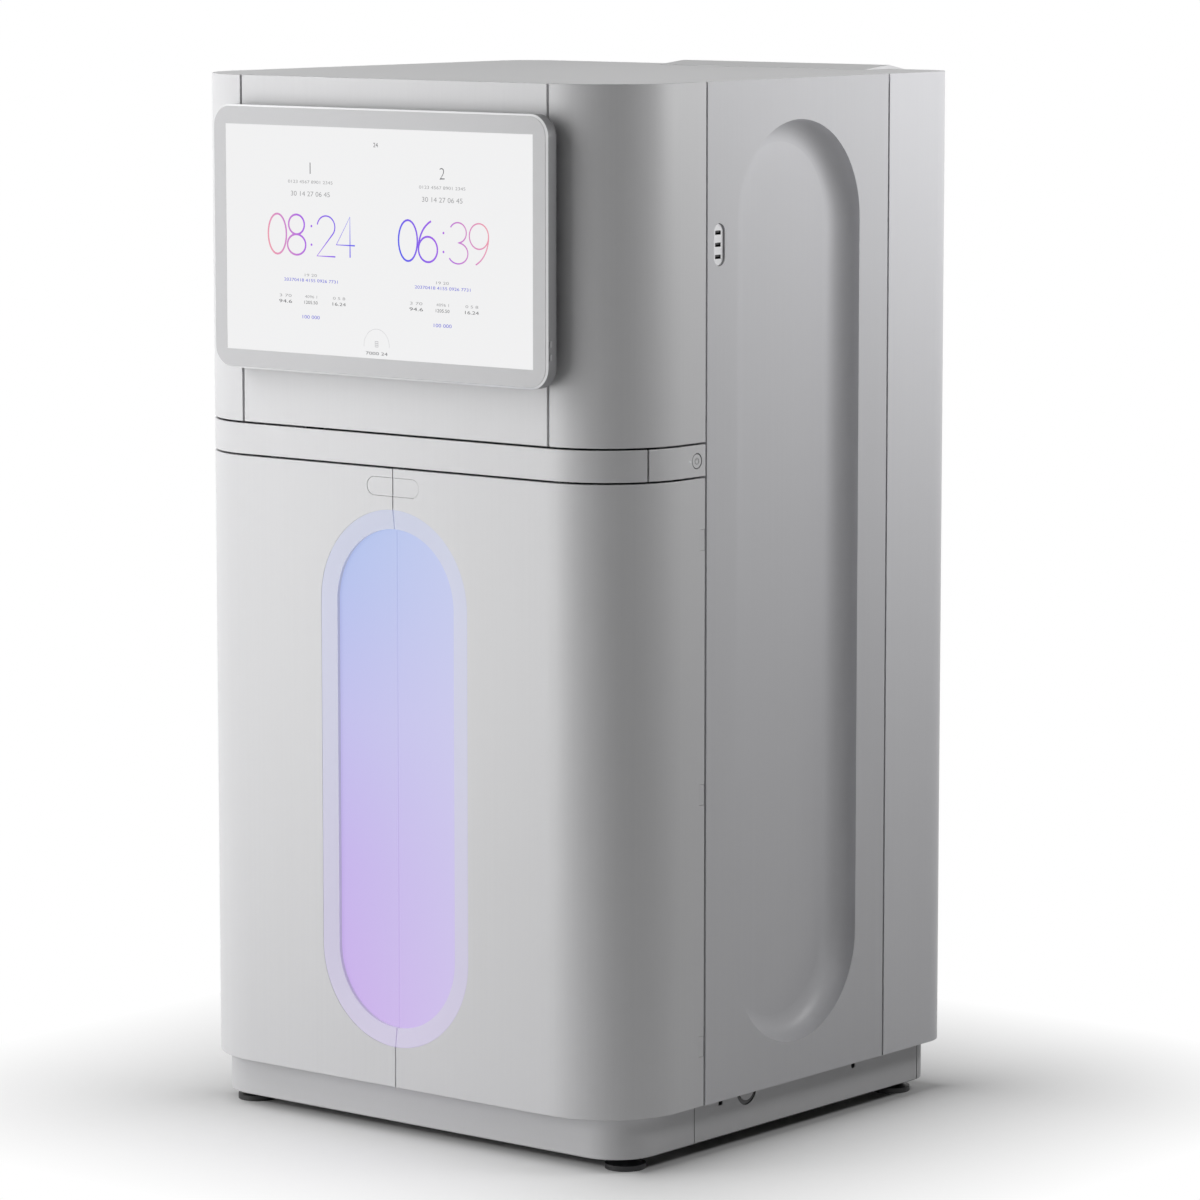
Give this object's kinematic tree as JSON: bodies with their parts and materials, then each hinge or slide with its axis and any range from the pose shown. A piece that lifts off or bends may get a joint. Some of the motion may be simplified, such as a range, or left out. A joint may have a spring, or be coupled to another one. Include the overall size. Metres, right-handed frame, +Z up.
{
  "type": "dna sequencer",
  "caption": "Floor-standing DNA sequencer: rounded white cabinet, twin doors with a slot-shaped lit window, pull-out shelf band and a sliding visor that carries a touch monitor.",
  "frame": {"origin": "on the floor, under the middle of the overall box", "axes": "+Z up, -Y towards the user at the front, +X to the right as seen from the front"},
  "size_m": [0.864, 0.933, 1.588],
  "materials": {
    "white_shroud": "satin moulded shroud",
    "side_shroud": "satin moulded shroud",
    "skirt_grey": "satin",
    "frame_paint": "dark grey powder coat",
    "zinc_steel": "zinc plated",
    "rail_steel": "ground",
    "liner_grey": "moulded",
    "drawer_grey": "moulded",
    "bottle_plastic": "translucent moulded",
    "window_frame": "satin",
    "window_diffuser": "frosted diffuser",
    "latch_white": "satin",
    "monitor_frame": "bead blasted",
    "screen": "lit display behind cover glass",
    "usb_grey": "moulded",
    "button_white": "satin",
    "black_plastic": "moulded",
    "light_paint": "satin powder coat",
    "machined_aluminium": "machined",
    "flow_cell_glass": "clear",
    "objective_black": "anodised look",
    "service_box": "painted case"
  },
  "bodies": {
    "cabinet": {"band_end_caps": "white_shroud", "base_frame": "frame_paint", "bay_liner": "liner_grey", "buffer_drawer": "drawer_grey", "control_computer": "service_box", "door_hinges": "light_paint", "exhaust_plenum": "light_paint", "fan_frames": "black_plastic", "floor_pan": "frame_paint", "frame_cage": "frame_paint", "left_rear_corner": "side_shroud", "left_side_panel": "side_shroud", "left_upper_corner": "white_shroud", "levelling_feet": "zinc_steel", "lower_deck": "frame_paint", "mains_inlet": "black_plastic", "objectives": "objective_black", "optics_cover": "liner_grey", "power_supply": "service_box", "power_switch": "black_plastic", "reagent_drawers": "drawer_grey", "rear_panel": "side_shroud", "rear_panel_screws": "zinc_steel", "right_rear_corner": "side_shroud", "right_side_panel": "side_shroud", "right_upper_corner": "white_shroud", "shelf_rails": "rail_steel", "skirt_front": "skirt_grey", "skirt_left": "skirt_grey", "skirt_rear": "skirt_grey", "skirt_right": "skirt_grey", "stage_base": "machined_aluminium", "top_cover": "white_shroud", "upper_bay_liner": "liner_grey", "upper_deck": "frame_paint", "usb_plate": "usb_grey", "visor_rails": "rail_steel", "waste_bottles": "bottle_plastic"},
    "left_door": {"left_door": "white_shroud", "left_window_trim": "window_frame", "left_window_lens": "window_diffuser"},
    "right_door": {"right_door": "white_shroud", "right_window_trim": "window_frame", "right_window_lens": "window_diffuser"},
    "left_latch": {"left_latch_pad": "latch_white"},
    "right_latch": {"right_latch_pad": "latch_white"},
    "visor": {"visor_panel": "white_shroud", "visor_carriage": "zinc_steel", "monitor_housing": "monitor_frame", "display": "screen"},
    "upper_key": {"monitor_key_upper": "monitor_frame"},
    "lower_key": {"monitor_key_lower": "monitor_frame"},
    "shelf": {"shelf_front": "white_shroud", "shelf_tray": "liner_grey"},
    "power_button": {"power_button": "button_white"},
    "stage": {"stage_table": "machined_aluminium", "flow_cells": "flow_cell_glass"},
    "fan_rotor_1": {"fan_rotor_1": "black_plastic"},
    "fan_rotor_2": {"fan_rotor_2": "black_plastic"},
    "rocker": {"mains_rocker": "black_plastic"}
  },
  "joints": [
    {"name": "right_door_hinge", "type": "hinge", "parent": "cabinet", "child": "right_door", "pos_m": [0.4255, -0.246, 0.547], "axis": [0, 0, 1], "range_deg": [0, 105]},
    {"name": "left_door_hinge", "type": "hinge", "parent": "cabinet", "child": "left_door", "pos_m": [-0.4255, -0.246, 0.547], "axis": [0, 0, 1], "range_deg": [-105, 0]},
    {"name": "right_latch_press", "type": "slide", "parent": "right_door", "child": "right_latch", "axis": [0, 1, 0], "range_m": [0, 0.0025], "stiffness_N_per_m": 400, "springref_m": -0.001},
    {"name": "left_latch_press", "type": "slide", "parent": "left_door", "child": "left_latch", "axis": [0, 1, 0], "range_m": [0, 0.0025], "stiffness_N_per_m": 400, "springref_m": -0.001},
    {"name": "visor_slide", "type": "slide", "parent": "cabinet", "child": "visor", "axis": [0, 0, 1], "range_m": [0, 0.3]},
    {"name": "upper_key_press", "type": "slide", "parent": "visor", "child": "upper_key", "axis": [-1, 0, 0], "range_m": [0, 0.0006], "stiffness_N_per_m": 300, "springref_m": -0.001},
    {"name": "lower_key_press", "type": "slide", "parent": "visor", "child": "lower_key", "axis": [-1, 0, 0], "range_m": [0, 0.0006], "stiffness_N_per_m": 300, "springref_m": -0.001},
    {"name": "shelf_slide", "type": "slide", "parent": "cabinet", "child": "shelf", "axis": [0, -1, 0], "range_m": [0, 0.3]},
    {"name": "power_button_press", "type": "slide", "parent": "cabinet", "child": "power_button", "axis": [-1, 0, 0], "range_m": [0, 0.002], "stiffness_N_per_m": 500, "springref_m": -0.001},
    {"name": "stage_slide", "type": "slide", "parent": "cabinet", "child": "stage", "axis": [0, 1, 0], "range_m": [0, 0.18]},
    {"name": "fan_rotor_1_spin", "type": "hinge", "parent": "cabinet", "child": "fan_rotor_1", "pos_m": [0.096, 0.4005, 1.18], "axis": [0, 1, 0], "continuous": true},
    {"name": "fan_rotor_2_spin", "type": "hinge", "parent": "cabinet", "child": "fan_rotor_2", "pos_m": [0.096, 0.4005, 1.37], "axis": [0, 1, 0], "continuous": true},
    {"name": "mains_rocker_tilt", "type": "hinge", "parent": "cabinet", "child": "rocker", "pos_m": [-0.23, 0.3895, 0.241], "axis": [1, 0, 0], "range_deg": [-12, 0]}
  ]
}
